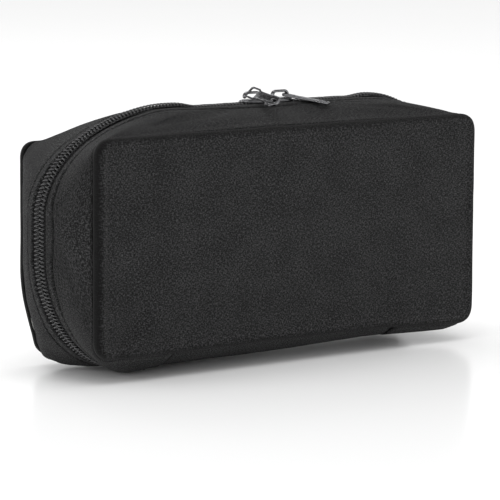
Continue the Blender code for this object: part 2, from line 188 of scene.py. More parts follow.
def cloth_piece(name, grid, uvs, flip, material, body, replaces, crease=None, closed=False):
    """A piece made of a grid of points [row, column, xyz] with its uvs."""
    rows, columns = grid.shape[:2]
    faces = grid_faces(rows, columns, flip, closed)
    return new_piece(
        name, grid.reshape(-1, 3), faces, material, body, uvs.reshape(-1, 2), replaces, crease
    )


def register(item, material, body, replaces=()):
    if not item.users_collection:
        bpy.context.scene.collection.objects.link(item)
    item.data.materials.clear()
    item.data.materials.append(material)
    if body:
        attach(item, body)
    if replaces:
        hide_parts(*replaces)
    return item


def plain_mesh(name, vertices, faces):
    mesh = bpy.data.meshes.new(name)
    mesh.from_pydata(np.asarray(vertices).tolist(), [], faces)
    return mesh


def grid_faces(rows, columns, flip=False, closed=False):
    """Quads over a grid whose vertices run row by row. closed joins the last row to the first."""
    r, c = np.meshgrid(np.arange(rows if closed else rows - 1), np.arange(columns - 1), indexing="ij")
    a = r * columns + c
    b = ((r + 1) % rows) * columns + c
    quads = np.stack([a, b, b + 1, a + 1], axis=-1).reshape(-1, 4)
    return quads[:, ::-1] if flip else quads


def thickened(item, thickness, offset=-1):
    shell = item.modifiers.new("thickness", "SOLIDIFY")
    shell.thickness = thickness
    shell.offset = offset
    return item


def cubic(start, first, end, last, t):
    """A cubic from start to end, with the tangents first and last, at the shares t."""
    return (
        (2 * t**3 - 3 * t**2 + 1) * start
        + (t**3 - 2 * t**2 + t) * first
        + (3 * t**2 - 2 * t**3) * end
        + (t**3 - t**2) * last
    )


# Outlines


def arc(centre, radii, start, end, steps):
    angles = np.radians(np.linspace(start, end, steps + 1))
    return np.stack([centre[0] + radii[0] * np.cos(angles), centre[1] + radii[1] * np.sin(angles)], axis=1)


def line(start, end, steps):
    """Points from start up to but not including end."""
    share = np.linspace(0, 1, steps + 1)[:-1, None]
    return np.asarray(start) + (np.asarray(end) - np.asarray(start)) * share


PATH_STEPS = {"bottom": 8, "corner": 80, "side": 22, "top": 60}


def wrap_line(start_x, half_length, low, high, corner_low, corner_high):
    """Points (x, z) from start_x under the left side, up and over to the same place at the right."""
    foot = (corner_low[0] - half_length, low + corner_low[1])
    head = (corner_high[0] - half_length, high - corner_high[1])
    low_arc = arc(foot, corner_low, 270, 180, PATH_STEPS["corner"])
    high_arc = arc(head, corner_high, 180, 90, PATH_STEPS["corner"])
    left = np.concatenate([
        line((start_x, low), low_arc[0], PATH_STEPS["bottom"]),
        low_arc[:-1],
        line(low_arc[-1], high_arc[0], PATH_STEPS["side"]),
        high_arc[:-1],
        line(high_arc[-1], (0.0, high), PATH_STEPS["top"]),
        [(0.0, high)],
    ])
    return np.concatenate([left, left[-2::-1] * (-1, 1)])


def outward(points):
    """The outward normals (x, z) of a wrap line."""
    run = unit(np.gradient(points, axis=0))
    return np.stack([-run[:, 1], run[:, 0]], axis=1)


def in_space(flat, y):
    """Points or directions (x, z) as (x, y, z)."""
    return np.stack([flat[:, 0], np.full(len(flat), float(y)), flat[:, 1]], axis=1)


class ZipPath:
    """The zip's centre line, with its outward normal and the direction across it, from front to back."""

    def __init__(self, start_x):
        flat = wrap_line(start_x, ZIP_HALF, ZIP_LOW, ZIP_TOP, ZIP_CORNER_LOW, ZIP_CORNER_HIGH)
        out = outward(flat)
        facing_up = np.maximum(out[:, 1], 0) ** 3
        from_sliders = flat[:, 0] - SLIDER_MIDDLE
        past_travel = np.abs(from_sliders) - np.where(from_sliders < 0, LEFT_TRAVEL_REACH, RIGHT_TRAVEL_REACH)
        shoulder = (flat[:, 0] - RIGHT_SHOULDER_X) / RIGHT_SHOULDER_LENGTH
        flat[:, 1] += TOP_BOW * smoothstep(past_travel / TOP_BOW_START) * facing_up
        flat[:, 1] += RIGHT_SHOULDER * np.exp(-(shoulder**2)) * facing_up
        self.coil_lift = COIL_LIFT * smoothstep(past_travel / COIL_LIFT_START) * facing_up
        self.centre = in_space(flat, ZIP_Y)
        self.along = lengths(self.centre)
        tilt = SIDE_TILT * out[:, 0] ** 2 + TOP_TILT * np.maximum(out[:, 1], 0) ** 2
        flat_out = in_space(out, 0)
        back = np.array([0.0, 1.0, 0.0])
        sine, cosine = np.sin(tilt)[:, None], np.cos(tilt)[:, None]
        self.across = cosine * back + sine * flat_out
        self.out = cosine * flat_out - sine * back
        near = np.exp(-(((flat[:, 0] - SLIDER_MIDDLE) / SPREAD_LENGTH) ** 2)) * (out[:, 1] > 0.9)
        self.spread = SPREAD_AT_SLIDERS * near

    def at(self, along, values):
        return np.stack([np.interp(along, self.along, values[:, k]) for k in range(3)], axis=1)


ZIP = ZipPath(-CROSS_SEAM_X)
ZIP_RING = ZipPath(0.0)


# Fabric walls


def wall_columns(width):
    """Distances across a wall: close together at the panel seam and at the folded zip edge."""
    seam = np.linspace(0, 0.003, 9)[:-1]
    edge = width - np.linspace(0.0065, 0, 20)
    middle = np.linspace(seam[-1] + 0.0005, edge[0] - 0.0008, int((width - 0.0095) / 0.0011))
    return np.concatenate([seam, middle, edge]) / width


def tuck(x, z, half):
    """Sags of the outline: the front's rolled lip and low corner at the right, the back's slack corner."""
    if half.side < 0:
        drop = RIGHT_SAG * smoothstep((x - 0.040) / 0.060) * smoothstep((0.050 - z) / 0.040)
        return x + LIP_REACH * smoothstep((x - 0.080) / 0.024), z - drop
    slack = smoothstep((0.046 - z) / 0.046) ** 1.4 * smoothstep((-x - 0.045) / 0.05)
    return x + BACK_TUCK * slack, z


def wall_surface(half, path, panel_inset=0.0, edge=EDGE_FROM_ZIP, seam_depth=0.0, columns=None):
    """Points of one half's wall from its panel seam to its zip edge, [along, across, xyz]."""
    start_x = path.centre[0, 0]
    corner = (VISIBLE_CORNER[half.side] + panel_inset,) * 2
    panel = wrap_line(
        start_x, PANEL_HALF - panel_inset, half.low + panel_inset, half.high - panel_inset, corner, corner
    )
    out = in_space(outward(panel), 0)
    panel = np.stack(tuck(panel[:, 0], panel[:, 1], half), axis=1)
    start = in_space(panel, half.inward(seam_depth))
    end = path.centre + half.side * path.across * edge
    chord_line = end - start
    chord = np.linalg.norm(chord_line, axis=1, keepdims=True)
    straight = np.abs(out).max(axis=1, keepdims=True) ** 6
    to_zip = np.array([0, -half.side, 0])
    under = smoothstep((-out[:, 2:] - 0.25) / 0.6)
    first_under = (out * math.cos(UNDER_LIFT) + to_zip * math.sin(UNDER_LIFT)) * chord * UNDER_START_PULL
    corner_share = 0.25 if half.side < 0 else 0.9
    swell = SWELL[half.side] * (corner_share + (1 - corner_share) * straight)
    first_side = chord_line + out * swell
    last_under = -half.side * path.across * chord * UNDER_END_PULL
    last_side = 0.45 * chord_line - 0.55 * half.side * path.across * chord
    first = first_side * (1 - under) + first_under * under
    last = last_side * (1 - under) + last_under * under
    t = (wall_columns(float(chord.mean())) if columns is None else columns)[None, :, None]
    start, end, first, last = (v[:, None, :] for v in (start, end, first, last))
    return cubic(start, first, end, last, t)


def surface_normals(grid, half):
    return unit(np.cross(np.gradient(grid, axis=0), np.gradient(grid, axis=1)) * -half.side)


def grid_uvs(grid):
    """UVs in metres: u runs along the wall and v across it, so the weave keeps its size."""
    along = lengths(grid).mean(axis=1)
    across = lengths(np.swapaxes(grid, 0, 1)).T
    return np.stack([np.broadcast_to(along[:, None], across.shape), across], axis=-1)


def rest_height(x):
    """How high the underside lies above the floor: the empty right end hangs a little clear of it."""
    share = np.clip((x + 0.105) / 0.155, 0, 1)
    return END_LIFT * share**1.5


def soften_floor(grid, floor, reach=0.0012):
    """Flattens what comes near the floor onto it, with a rounded edge to the contact patch."""
    z = grid[..., 2] - floor
    lifted = floor + 0.5 * (z + np.sqrt(z * z + reach * reach))
    grid[..., 2] = np.where(z > 0.02, grid[..., 2], lifted)
    return grid


def outer_wall(half):
    """The outer gusset, with puckers at the panel seam, soft waves, a stitched fold along the zip."""
    grid = wall_surface(half, ZIP, seam_depth=SEAM_DEPTH)
    uvs = grid_uvs(grid)
    u, v = uvs[..., 0], uvs[..., 1]
    width = v[:, -1:]
    from_edge = width - v
    middle = np.sin(np.pi * np.clip(v / width, 0, 1))
    seed = 11.3 if half.side < 0 else 47.9
    waves = 0.0011 * middle * noise_grid(u / 0.055, v / 0.020, seed)
    waves += 0.00045 * middle * noise_grid(u / 0.021, v / 0.013, seed + 5)
    puckers = 0.00012 * np.exp(-v / 0.0075) * noise_grid(u / 0.0090, v / 0.02, seed + 9)
    index = np.arange(len(grid))[:, None] / 15.0
    near_seam = np.exp(-v / 0.016) * np.exp(-((v - 0.006) / 0.02) ** 2)
    folds = 0.0006 * near_seam * noise_grid(index, v / 0.03, seed + 13)
    ripple = 0.00016 * np.exp(-((from_edge / 0.006) ** 2)) * noise_grid(u / 0.0045, v * 0, seed + 17)
    groove = -0.00055 * np.exp(-(((from_edge - STITCH_FROM_EDGE) / STITCH_GROOVE) ** 2))
    hem = 0.00026 * smoothstep((STITCH_FROM_EDGE - from_edge) / 0.0016) * smoothstep(from_edge / 0.0009)
    fold_radius = 0.0010
    turned = np.clip(1 - from_edge / fold_radius, 0, 1)
    fold = -fold_radius * (1 - np.sqrt(np.maximum(1 - turned**2, 0)))
    roll = 0.0006 * smoothstep(v / 0.0016) * np.exp(-(((v - 0.0022) / 0.0022) ** 2))
    roll = roll - 0.0013 * np.exp(-((v / 0.0009) ** 2))
    lift = waves + puckers + folds + ripple + groove + hem + fold + roll
    grid = grid + surface_normals(grid, half) * lift[..., None]
    grid = soften_floor(grid, rest_height(grid[..., 0]))
    stitches(half, grid, from_edge)
    corner = (VISIBLE_CORNER[half.side],) * 2
    seam_line = wrap_line(-CROSS_SEAM_X, PANEL_HALF, half.low, half.high, corner, corner)
    allowance = in_space(outward(seam_line), 0) * -SEAM_ALLOWANCE
    # Painted shade: the crease share darkens the cloth's colour at the panel seam and, a little less, in the
    # stitch groove along the zip
    stitched = np.exp(-(((from_edge - STITCH_FROM_EDGE) / STITCH_GROOVE) ** 2))
    crease = np.exp(-((v / WALL_CREASE_SHADE) ** 2)) + 0.55 * stitched
    crease = np.concatenate([np.ones((len(grid), 1)), np.broadcast_to(crease, grid.shape[:2])], axis=1)
    grid = np.concatenate([grid[:, :1] + allowance[:, None], grid], axis=1)
    uvs = np.concatenate([uvs[:, :1] - (0, SEAM_ALLOWANCE), uvs], axis=1)
    item = cloth_piece(half.name + "_gusset_cloth", grid, uvs, half is BACK, OUTER, half.body,
                       [half.name + "_gusset"], crease)
    thickened(item, CLOTH)
    return item


def tube(points, radius, sides=6, closed_ends=True, scale=None, up=None):
    """Vertices and faces of a tube round a line of points. scale gives a share of radius per point."""
    points = np.asarray(points, float)
    run = unit(np.gradient(points, axis=0))
    up = np.array([0.0, 0.0, 1.0]) if up is None else np.asarray(up, float)
    side = np.cross(run, up)
    weak = np.linalg.norm(side, axis=1) < 1e-6
    side[weak] = np.cross(run[weak], [0.0, 1.0, 0.0])
    side = unit(side)
    top = np.cross(side, run)
    angles = np.linspace(0, 2 * np.pi, sides, endpoint=False)
    ring = side[:, None] * np.cos(angles)[None, :, None] + top[:, None] * np.sin(angles)[None, :, None]
    size = radius * (np.ones(len(points)) if scale is None else np.asarray(scale))
    vertices = points[:, None] + ring * size[:, None, None]
    count = len(points)
    i, j = np.meshgrid(np.arange(count - 1), np.arange(sides), indexing="ij")
    a, b = i * sides + j, i * sides + (j + 1) % sides
    faces = np.stack([a, b, b + sides, a + sides], axis=-1).reshape(-1, 4).tolist()
    if closed_ends:
        faces.append(list(range(sides))[::-1])
        faces.append([(count - 1) * sides + k for k in range(sides)])
    return vertices.reshape(-1, 3), faces


def merged(parts):
    """One list of vertices and faces from several (vertices, faces)."""
    vertices, faces, start = [], [], 0
    for points, quads in parts:
        vertices.append(points)
        faces.extend([[start + k for k in face] for face in quads])
        start += len(points)
    return np.concatenate(vertices), faces


def new_piece_of(name, parts, material, body, replaces=()):
    vertices, faces = merged(parts)
    mesh = plain_mesh(name, vertices, faces)
    mesh.shade_smooth()
    return register(bpy.data.objects.new(name, mesh), material, body, replaces)


def dashes(points, normals, pitch=0.0030, share=0.80, radius=0.00017):
    """Sewing stitches along a line: short threads that dip into the cloth at both ends."""
    run = lengths(points)
    parts = []
    for start in np.arange(0.0015, run[-1] - pitch, pitch):
        at = start + np.linspace(0, pitch * share, 6)
        middle = np.stack([np.interp(at, run, points[:, k]) for k in range(3)], axis=1)
        away = np.stack([np.interp(at, run, normals[:, k]) for k in range(3)], axis=1)
        arch = np.sin(np.linspace(0, np.pi, 6)) ** 0.5
        middle = middle + away * (radius * (1.5 * arch - 0.7))[:, None]
        parts.append(tube(middle, radius, 5, up=away[3], scale=0.55 + 0.45 * arch))
    return parts


def stitches(half, grid, from_edge):
    column = int(np.argmin(np.abs(from_edge[len(grid) // 2] - STITCH_FROM_EDGE)))
    normals = surface_normals(grid, half)
    new_piece_of(
        half.name + "_zip_topstitch", dashes(grid[:, column], normals[:, column]), THREAD, half.body,
    )


# Materials


class Graph:
    """A material's node tree, with short ways to add nodes."""

    def __init__(self, name, roughness=0.8, specular=0.3, metallic=0.0):
        self.material = bpy.data.materials.new(name)
        self.material.use_nodes = True
        self.tree = self.material.node_tree
        self.shader = self.tree.nodes["Principled BSDF"]
        self.shader.inputs["Roughness"].default_value = roughness
        self.shader.inputs["Specular IOR Level"].default_value = specular
        self.shader.inputs["Metallic"].default_value = metallic

    def put(self, value, socket):
        if isinstance(value, bpy.types.NodeSocket):
            self.tree.links.new(value, socket)
        else:
            socket.default_value = value

    def math(self, operation, a, b=0.0, c=0.0):
        node = self.tree.nodes.new("ShaderNodeMath")
        node.operation = operation
        for value, socket in zip((a, b, c), node.inputs):
            self.put(value, socket)
        return node.outputs[0]

    def uv(self):
        node = self.tree.nodes.new("ShaderNodeUVMap")
        split = self.tree.nodes.new("ShaderNodeSeparateXYZ")
        self.tree.links.new(node.outputs[0], split.inputs[0])
        return split.outputs[0], split.outputs[1]

    def place(self):
        node = self.tree.nodes.new("ShaderNodeTexCoord")
        return node.outputs["Object"]

    def vector(self, x, y, z=0.0):
        node = self.tree.nodes.new("ShaderNodeCombineXYZ")
        for value, socket in zip((x, y, z), node.inputs):
            self.put(value, socket)
        return node.outputs[0]

    def noise(self, vector, scale=1.0, detail=2.0, roughness=0.5):
        node = self.tree.nodes.new("ShaderNodeTexNoise")
        self.put(vector, node.inputs["Vector"])
        node.inputs["Scale"].default_value = scale
        node.inputs["Detail"].default_value = detail
        node.inputs["Roughness"].default_value = roughness
        return node.outputs["Fac"]

    def ramp(self, value, stops):
        node = self.tree.nodes.new("ShaderNodeValToRGB")
        ramp = node.color_ramp
        while len(ramp.elements) < len(stops):
            ramp.elements.new(0.5)
        for element, (position, colour) in zip(ramp.elements, stops):
            element.position = position
            element.color = (*colour, 1) if len(colour) == 3 else colour
        self.put(value, node.inputs[0])
        return node.outputs[0]

    def mix(self, share, a, b):
        return self.math("ADD", self.math("MULTIPLY", a, self.math("SUBTRACT", 1.0, share)),
                         self.math("MULTIPLY", b, share))

    def bump(self, height, distance, strength=1.0):
        node = self.tree.nodes.new("ShaderNodeBump")
        node.inputs["Strength"].default_value = strength
        node.inputs["Distance"].default_value = distance
        self.put(height, node.inputs["Height"])
        self.tree.links.new(node.outputs[0], self.shader.inputs["Normal"])

    def crease_shaded(self, colour, darkest):
        """The colour, darkened to a darkest share of it where the crease attribute is high: painted shade in
        the seam creases.
        """
        crease = self.tree.nodes.new("ShaderNodeAttribute")
        crease.attribute_name = "crease"
        share = self.math("MULTIPLY_ADD", crease.outputs["Fac"], darkest - 1, 1.0)
        node = self.tree.nodes.new("ShaderNodeVectorMath")
        node.operation = "SCALE"
        self.put(colour, node.inputs[0])
        self.put(share, node.inputs["Scale"])
        return node.outputs[0]

    def colour(self, value):
        self.put(value, self.shader.inputs["Base Color"])

    def sheen(self, weight, roughness=0.5):
        self.shader.inputs["Sheen Weight"].default_value = weight
        self.shader.inputs["Sheen Roughness"].default_value = roughness


def grey(*levels):
    """Evenly spaced ramp stops from grey levels."""
    return [(0.37 + 0.26 * k / (len(levels) - 1), (g, g, g * 1.02)) for k, g in enumerate(levels)]


def woven_cloth(name, levels, pitch, fleck, bump, sheen=0.25):
    """Plain weave of mottled threads: each thread keeps its tone for a few millimetres."""
    g = Graph(name, roughness=0.92, specular=0.22)
    u, v = g.uv()
    turns = 2 * math.pi / pitch
    over = g.math("MULTIPLY", g.math("SINE", g.math("MULTIPLY", u, turns)),
                  g.math("SINE", g.math("MULTIPLY", v, turns)))
    warp = g.noise(g.vector(g.math("DIVIDE", u, pitch), g.math("DIVIDE", v, fleck)), detail=1.5)
    weft = g.noise(g.vector(g.math("DIVIDE", u, fleck), g.math("DIVIDE", v, pitch)), detail=1.5)
    share = g.math("MULTIPLY_ADD", over, 0.5, 0.5)
    tone = g.mix(share, warp, weft)
    cloud = g.noise(g.vector(u, v), scale=60, detail=3)
    tone = g.math("ADD", tone, g.math("MULTIPLY", g.math("SUBTRACT", cloud, 0.5), 0.08))
    # Painted shade: the cloth's colour falls to 6% of itself in the seam creases and the stitch groove
    g.colour(g.crease_shaded(g.ramp(tone, grey(*levels)), 0.06))
    fuzz = g.noise(g.vector(u, v), scale=2600, detail=2)
    g.bump(g.math("ADD", g.math("MULTIPLY", over, 0.5), g.math("MULTIPLY_ADD", fuzz, 0.4, tone)), bump)
    g.sheen(sheen)
    return g.material


def ribbed(name, level, pitch, along_u, roughness, bump, sheen=0.1):
    """Woven tape or elastic: fine ribs across one direction, with the threads' own mottle."""
    g = Graph(name, roughness=roughness, specular=0.3)
    u, v = g.uv()
    across, along = (u, v) if along_u else (v, u)
    rib = g.math("SINE", g.math("MULTIPLY", across, 2 * math.pi / pitch))
    cross = g.math("SINE", g.math("MULTIPLY", along, 2 * math.pi / (pitch * 0.6)))
    threads = g.noise(g.vector(g.math("DIVIDE", u, 0.0006), g.math("DIVIDE", v, 0.0006)), detail=2)
    tone = g.math("ADD", threads, g.math("MULTIPLY", rib, 0.10))
    g.colour(g.ramp(tone, grey(level * 0.5, level, level * 1.9)))
    fine = g.math("ADD", g.math("MULTIPLY", cross, 0.3), threads)
    g.bump(g.math("ADD", g.math("MULTIPLY", rib, 0.7), fine), bump)
    g.sheen(sheen)
    return g.material


def taffeta(name, level):
    """Smooth lining cloth with a fine weave and a soft shine."""
    g = Graph(name, roughness=0.55, specular=0.35)
    u, v = g.uv()
    turns = 2 * math.pi / 0.00045
    over = g.math("MULTIPLY", g.math("SINE", g.math("MULTIPLY", u, turns)),
                  g.math("SINE", g.math("MULTIPLY", v, turns)))
    slub = g.noise(g.vector(g.math("DIVIDE", u, 0.02), g.math("DIVIDE", v, 0.0005)), detail=2)
    g.colour(g.ramp(slub, grey(level * 0.82, level, level * 1.15)))
    crease = g.noise(g.vector(u, v), scale=55, detail=4)
    g.bump(g.math("ADD", g.math("MULTIPLY", over, 0.15), g.math("MULTIPLY", crease, 2.0)), 0.00035)
    g.sheen(0.15)
    return g.material


def moulded(name, level, roughness, scale, bump):
    """Plastic or thread with a little unevenness in its gloss."""
    g = Graph(name, roughness=roughness, specular=0.5)
    lumps = g.noise(g.place(), scale=scale, detail=3)
    g.colour(g.ramp(lumps, grey(level * 0.7, level, level * 1.4)))
    g.put(g.math("MULTIPLY_ADD", lumps, 0.25, roughness - 0.12), g.shader.inputs["Roughness"])
    g.bump(lumps, bump)
    return g.material


def plated_metal(name):
    """Black nickel: dark mirror plating with faint tumbling marks."""
    g = Graph(name, metallic=1.0)
    wear = g.noise(g.place(), scale=900, detail=4)
    g.colour(g.ramp(wear, [(0.3, (0.190, 0.190, 0.198)), (0.7, (0.270, 0.270, 0.278))]))
    g.put(g.math("MULTIPLY_ADD", wear, 0.16, 0.10), g.shader.inputs["Roughness"])
    g.bump(wear, 0.00002)
    return g.material


def foam(name):
    g = Graph(name, roughness=0.95, specular=0.1)
    cells = g.noise(g.place(), scale=1500, detail=2)
    g.colour(g.ramp(cells, [(0.3, (0.42, 0.42, 0.41)), (0.7, (0.62, 0.62, 0.60))]))
    g.bump(cells, 0.0003)
    return g.material


OUTER = woven_cloth("heathered_cloth", (0.0005, 0.0075, 0.0720), 0.00034, 0.0011, 0.00012, 0.05)
LINING = taffeta("grey_taffeta", 0.115)
FOAM = foam("board_foam")
TAPE = ribbed("zip_tape_twill", 0.010, 0.0007, True, 0.85, 0.00012)
BINDING = ribbed("binding_grosgrain", 0.014, 0.0010, True, 0.8, 0.00018)
ELASTIC = ribbed("elastic_webbing", 0.017, 0.0012, False, 0.78, 0.00020)
NET = moulded("pocket_net_thread", 0.016, 0.6, 2500, 0.00004)
COIL = moulded("coil_nylon", 0.034, 0.22, 900, 0.00002)
THREAD = moulded("polyester_thread", 0.016, 0.55, 3000, 0.00005)
METAL = plated_metal("black_nickel_plate")


# Outer walls, panels and the bottom hinge panel

for half in (BACK, FRONT):
    outer_wall(half)


def hinge_panel():
    """One piece of cloth under the case, from the front panel's seam to the back panel's."""
    parts = []
    columns = np.linspace(0, 1, 26)
    xs = np.linspace(-CROSS_SEAM_X, CROSS_SEAM_X, 150)
    for half in (FRONT, BACK):
        t = columns[None, :, None]
        start = np.array([0, half.inward(SEAM_DEPTH), half.low])
        end = np.array([0, ZIP_Y, ZIP_LOW])
        chord = np.linalg.norm(end - start)
        sine, cosine = math.sin(UNDER_LIFT), math.cos(UNDER_LIFT)
        first = np.array([0, -half.side * sine, -cosine]) * chord * UNDER_START_PULL
        last = np.array([0, -half.side, 0]) * chord * UNDER_END_PULL
        profile = cubic(start, first, end, last, t)[0]
        parts.append(profile if half is FRONT else profile[-2::-1])
    profile = np.concatenate(parts)
    grid = np.broadcast_to(profile, (len(xs), *profile.shape)).copy()
    grid[..., 0] = xs[:, None]
    uvs = grid_uvs(grid)
    u, v = uvs[..., 0], uvs[..., 1]
    edge = np.minimum(u, u.max() - u)
    lift = 0.0009 * noise_grid(u / 0.05, v / 0.02, 71.0)
    lift = lift * smoothstep(v / 0.01) * smoothstep((v.max() - v) / 0.01)
    lift -= 0.0010 * (1 - smoothstep(edge / 0.0016))
    lift -= 0.0009 * (1 - smoothstep(np.minimum(v, v.max() - v) / 0.0014))
    lift += 0.0004 * noise_grid(u / 0.006, v / 0.03, 77.0) * np.exp(-np.minimum(v, v.max() - v) / 0.006)
    normals = unit(np.cross(np.gradient(grid, axis=0), np.gradient(grid, axis=1)))
    down = np.where(normals[..., 2:].mean() > 0, -1, 1)
    grid = soften_floor(grid + normals * down * lift[..., None], rest_height(grid[..., 0]))
    # Painted shade: darkens the cloth's colour along its ends and its two panel seams
    crease = np.exp(-((np.minimum(edge, np.minimum(v, v.max() - v)) / HINGE_CREASE_SHADE) ** 2))
    item = cloth_piece("bottom_hinge_cloth", grid, uvs, down < 0, OUTER, None,
                       ["front_bottom_panel", "back_bottom_panel"], crease)
    thickened(item, CLOTH)
    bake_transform(item)


def corner_distance(x, z, half_length, low, high, corner):
    """Distance in from the edge of a rounded rectangle."""
    qx = np.abs(x) - (half_length - corner)
    qz = np.abs(z - (low + high) / 2) - ((high - low) / 2 - corner)
    outside = np.hypot(np.maximum(qx, 0), np.maximum(qz, 0))
    return corner - outside - np.minimum(np.maximum(qx, qz), 0)


def rounded_grid(half_length, low, high, corner, rows, columns, edge=0.006):
    """Points (x, z) [row, column] that fill a rounded rectangle, closer together near its edge."""
    ease = np.linspace(0, 1, 14)[:-1] ** 1.3 * edge
    z_in = np.linspace(edge, (high - low) - edge, rows)
    zs = low + np.concatenate([ease, z_in, (high - low) - ease[::-1]])
    drop = np.minimum(zs - low, high - zs)
    reach = half_length - corner + np.sqrt(np.maximum(corner**2 - np.maximum(corner - drop, 0) ** 2, 0))
    share_in = np.linspace(-1 + edge / half_length, 1 - edge / half_length, columns)
    share = np.concatenate([-1 + ease / half_length, share_in, 1 - ease[::-1] / half_length])
    return reach[:, None] * share[None, :], np.broadcast_to(zs[:, None], (len(zs), len(share)))


def panel_cloth(half):
    """The outer panel: drawn tight over its board, with a rolled edge and a dent or two."""
    corner = VISIBLE_CORNER[half.side]
    x, z = rounded_grid(PANEL_HALF, half.low, half.high, corner, 96, 210)
    d = corner_distance(x, z, PANEL_HALF, half.low, half.high, corner)
    middle = smoothstep(d / 0.045)
    seed = 3.0 if half is FRONT else 29.0
    out = 0.0010 * middle + 0.0008 * smoothstep(d / 0.02) * noise_grid(x / 0.075, z / 0.045, seed)
    out += 0.00014 * smoothstep(d / 0.008) * noise_grid(x / 0.022, z / 0.020, seed + 4)
    out += 0.00014 * np.exp(-d / 0.008) * noise_grid(x / 0.0095, z / 0.0095, seed + 8)
    if half is FRONT:
        slope = (x + 0.088) * 0.80 - (z - 0.024) * 0.60
        along = (x + 0.088) * 0.60 + (z - 0.024) * 0.80
        out -= 0.0012 * np.exp(-((slope / 0.005) ** 2) - (along / 0.020) ** 2)
        out += 0.0006 * np.exp(-(((slope - 0.010) / 0.006) ** 2) - (along / 0.022) ** 2)
    roll = np.clip(1 - d / 0.0023, 0, 1)
    bulge_out = 0.0009 * np.sqrt(np.maximum(1 - ((roll - 0.45) / 0.56) ** 2, 0))
    out -= 0.0030 * (1 - np.sqrt(np.maximum(1 - roll**2, 0)))
    rim, trough = np.exp(-(((d - 0.0020) / 0.0015) ** 2)), np.exp(-(((d - 0.0050) / 0.0016) ** 2))
    out += 0.00040 * rim - 0.00010 * trough
    wavy = 0.00035 * noise_grid(z / 0.018, z * 0, seed + 15) * smoothstep((np.abs(x) - 0.098) / 0.006)
    wavy_z = 0.00030 * noise_grid(x / 0.022, z * 0, seed + 19) * smoothstep((0.008 - d) / 0.006)
    middle_z = (half.low + half.high) / 2
    side_x = smoothstep((np.abs(x) - (PANEL_HALF - 0.008)) / 0.005) * np.sign(x)
    past_edge = np.abs(z - middle_z) - (half.high - middle_z - 0.008)
    side_z = smoothstep(past_edge / 0.005) * np.sign(z - middle_z)
    moved_x, moved_z = tuck(x, z, half)
    moved_x = moved_x + wavy * np.sign(x) + bulge_out * side_x
    moved_z = moved_z + bulge_out * side_z + wavy_z * np.abs(side_z)
    grid = np.stack([moved_x, half.seam_y + half.side * (out - 0.0002), moved_z], axis=-1)
    uvs = np.stack([x + 0.5, z + 0.5], axis=-1)
    # Painted shade: the last argument darkens the cloth's colour along the panel's rolled edge
    item = cloth_piece(half.name + "_panel_cloth", grid, uvs, half is BACK, OUTER, half.body,
                       [half.name + "_panel"], np.exp(-((d / PANEL_CREASE_SHADE) ** 4)))
    thickened(item, CLOTH)


def board(half):
    low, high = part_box(half.name + "_panel_board")
    x, z = rounded_grid(high[0], low[2], high[2], INNER_CORNER, 24, 40)
    d = corner_distance(x, z, high[0], low[2], high[2], INNER_CORNER)
    roll = np.clip(1 - d / 0.0008, 0, 1)
    sink = 0.0008 * (1 - np.sqrt(np.maximum(1 - roll**2, 0)))
    outer_y, inner_y = (low[1], high[1]) if half is FRONT else (high[1], low[1])
    sheet_out = np.stack([x, outer_y - half.side * sink, z], axis=-1)
    sheet_in = np.stack([x, inner_y + half.side * sink, z], axis=-1)
    rows, columns = x.shape
    count = rows * columns
    faces = grid_faces(rows, columns, half is BACK).tolist()
    faces += (grid_faces(rows, columns, half is FRONT) + count).tolist()
    rim = [k for k in range(columns)] + [r * columns + columns - 1 for r in range(1, rows)]
    rim += [count - 1 - k for k in range(1, columns)] + [r * columns for r in range(rows - 2, 0, -1)]
    for a, b in zip(rim, rim[1:] + rim[:1]):
        quad = [a, b, b + count, a + count]
        faces.append(quad[::-1] if half is FRONT else quad)
    vertices = np.concatenate([sheet_out.reshape(-1, 3), sheet_in.reshape(-1, 3)])
    mesh = plain_mesh(half.name + "_board_foam", vertices, faces)
    mesh.shade_smooth()
    item = register(bpy.data.objects.new(mesh.name, mesh), FOAM, half.body, [half.name + "_panel_board"])


for half in (BACK, FRONT):
    board(half)
    panel_cloth(half)
hinge_panel()


# The zip


def zip_tape(half):
    """Woven tape from under the coil to beneath the folded cloth."""
    wall = wall_surface(half, ZIP, seam_depth=SEAM_DEPTH)
    normals = surface_normals(wall, half)
    run = lengths(np.swapaxes(wall, 0, 1)).T
    from_edge = run[:, -1:] - run
    keep = int((from_edge.mean(axis=0) > 0.0068).sum())
    under = (wall - normals * TAPE_SINK)[:, keep:]
    reach = np.linspace(EDGE_FROM_ZIP, 0.0009, 8)[1:]
    reach = reach[None, :, None] + ZIP.spread[:, None, None]
    strip = ZIP.centre[:, None] + half.side * ZIP.across[:, None] * reach - ZIP.out[:, None] * TAPE_SINK
    grid = np.concatenate([under, strip], axis=1)
    grid[..., 2] = np.maximum(grid[..., 2], rest_height(grid[..., 0]) + 0.0004)
    uvs = grid_uvs(grid)
    item = cloth_piece(half.name + "_tape_cloth", grid, uvs, half is BACK, TAPE, half.body,
                       [half.name + "_zipper_tape"])
    thickened(item, LINING_CLOTH)


